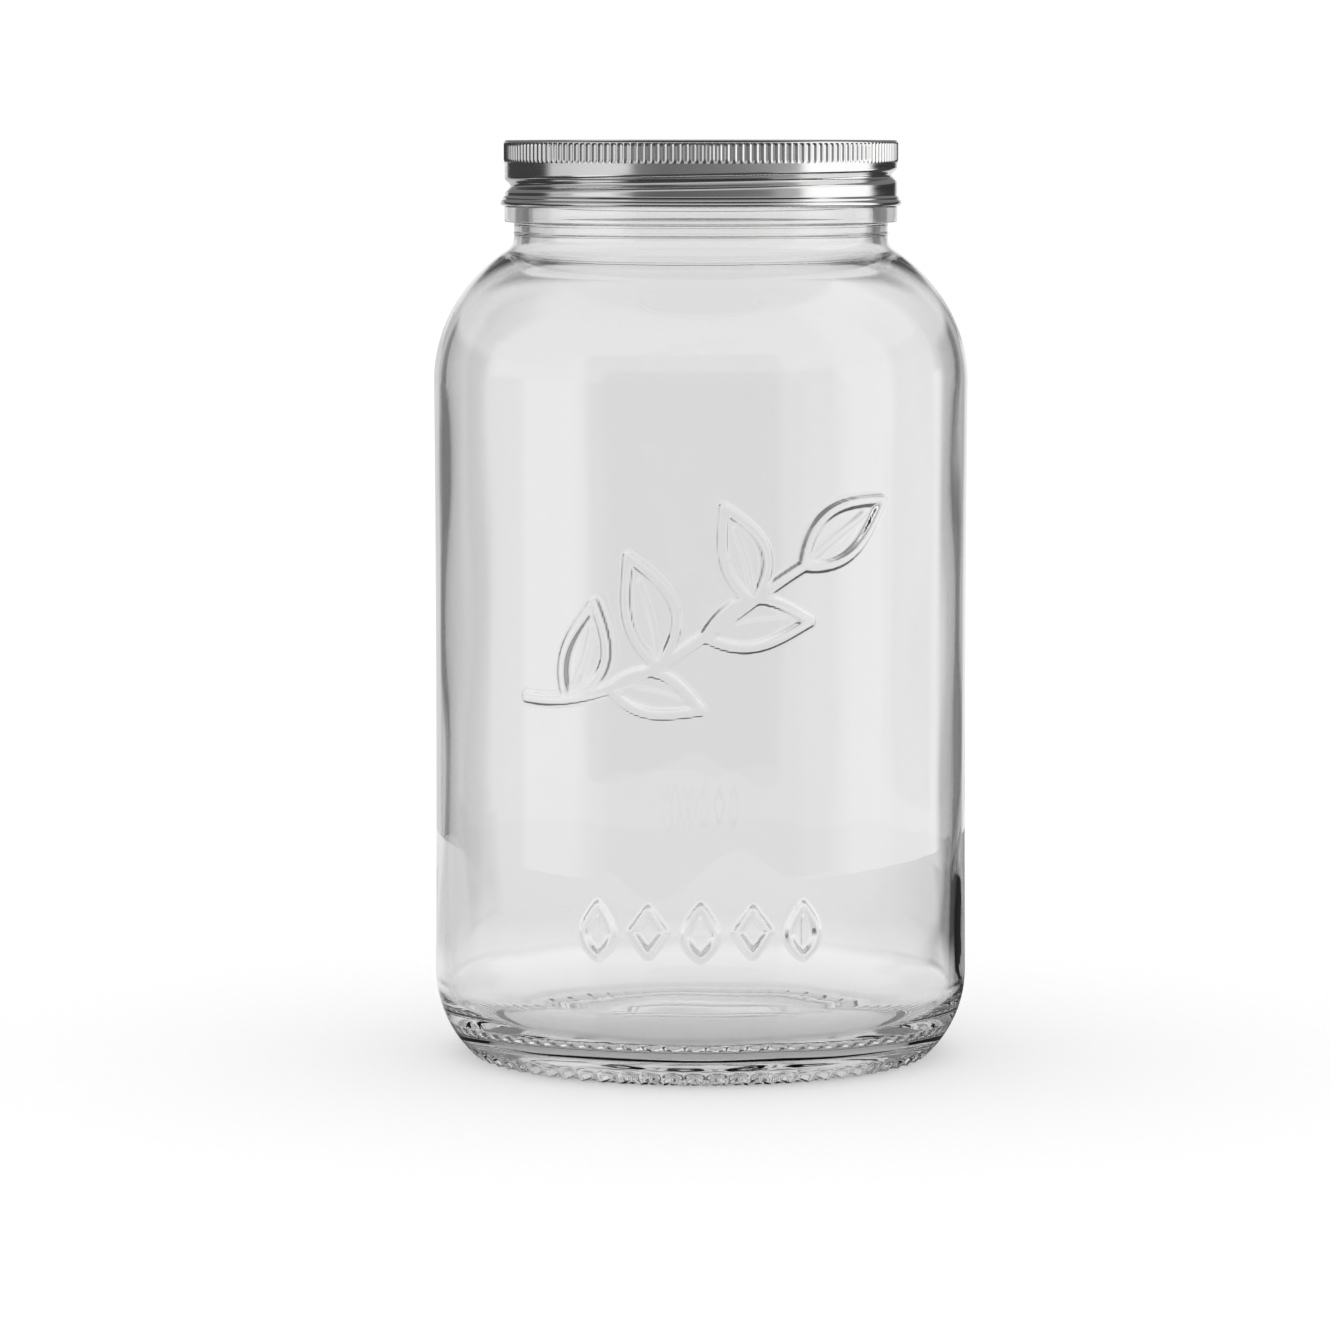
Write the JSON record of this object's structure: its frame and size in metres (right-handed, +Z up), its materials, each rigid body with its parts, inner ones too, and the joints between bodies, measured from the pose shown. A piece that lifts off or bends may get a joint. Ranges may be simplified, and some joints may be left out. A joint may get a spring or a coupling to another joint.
{
  "type": "mason jar",
  "caption": "Clear one-gallon glass canning jar, super-wide threaded mouth, with a flat lid, bonded seal and knurled screw band.",
  "frame": {"origin": "centre of the bearing ring, on the surface the jar stands on", "axes": "+Z up along the jar's axis towards the lid; -Y is the decorated front; +X to the right of someone facing the front"},
  "size_m": [0.152, 0.152, 0.261],
  "materials": {
    "glass": "clear moulded soda-lime glass, glossy, slightly wavy inside",
    "lid_tinplate": "bright tinplate, satin",
    "plastisol": "matt plastisol compound",
    "band_tinplate": "bright rolled tinplate, semi-gloss, faint drawing lines round the skirt"
  },
  "bodies": {
    "jar": {"glass_jar": "glass"},
    "lid": {"lid_disc": "lid_tinplate", "sealing_ring": "plastisol"},
    "band": {"screw_band": "band_tinplate"}
  },
  "joints": [
    {"name": "closure_lift", "type": "slide", "parent": "jar", "child": "lid", "axis": [0, 0, 1], "range_m": [0, 0.02064]},
    {"name": "band_turn", "type": "hinge", "parent": "lid", "child": "band", "pos_m": [0, 0, 0.25], "axis": [0, 0, 1], "range_deg": [0, 1170]}
  ],
  "couplings": [
    {"joint": "closure_lift", "follows": "band_turn", "m_per_rad": 0.0010106}
  ]
}
